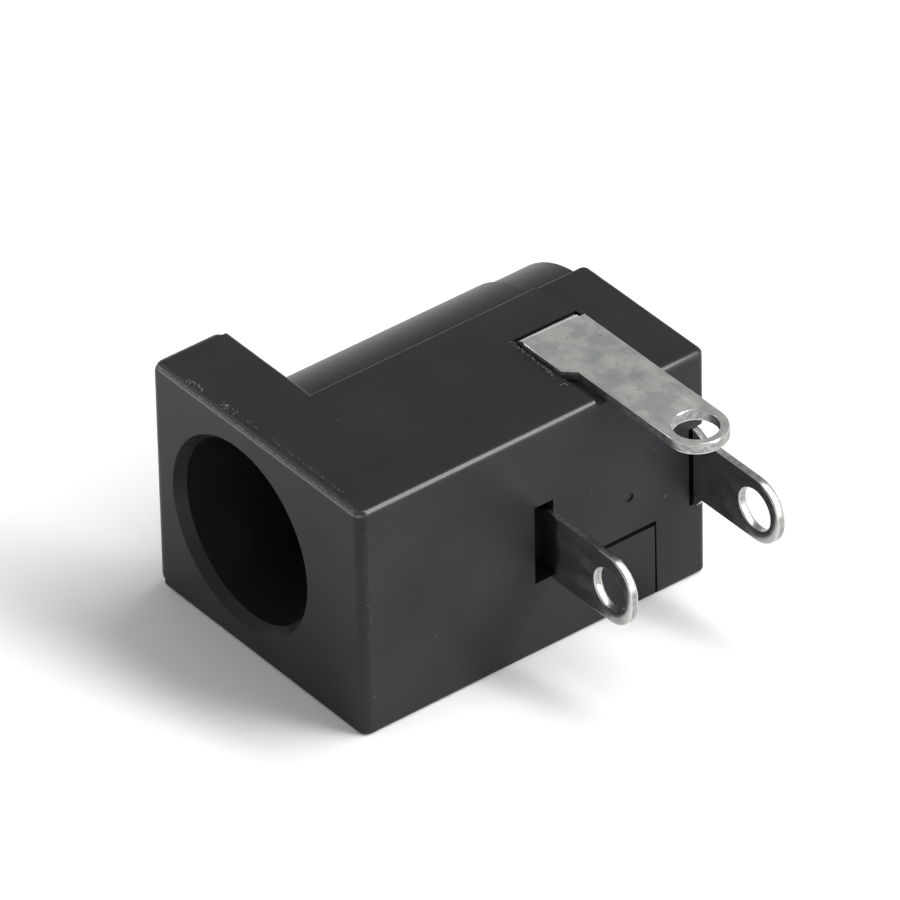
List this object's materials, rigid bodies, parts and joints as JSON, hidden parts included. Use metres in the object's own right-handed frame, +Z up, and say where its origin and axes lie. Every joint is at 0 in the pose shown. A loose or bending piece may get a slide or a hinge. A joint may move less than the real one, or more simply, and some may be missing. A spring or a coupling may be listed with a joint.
{
  "type": "dc barrel jack",
  "caption": "Panel and board power jack for a 5.5 mm barrel plug: black moulded housing with a flanged front, centre pin, and solder-eye contacts.",
  "frame": {"origin": "centre of the bore's mouth, in the plane of the front face", "axes": "+Y along the bore's axis into the housing, +X towards the board face and the solder eyes, +Z up from the side face that it lies on to the side face with the switch contact"},
  "size_m": [0.0156, 0.0143, 0.0092],
  "materials": {
    "black_plastic": "fine moulded satin, slightly brighter along the edges",
    "nickel_pin": "bright nickel plate on a turned pin",
    "tinned_strip": "satin tin plate with faint blotches and burnished sheared edges"
  },
  "bodies": {
    "root": {"housing": "black_plastic", "rear_cover": "black_plastic", "centre_pin": "nickel_pin", "pin_terminal": "tinned_strip", "sleeve_contact": "tinned_strip", "switch_contact": "tinned_strip"}
  },
  "joints": []
}
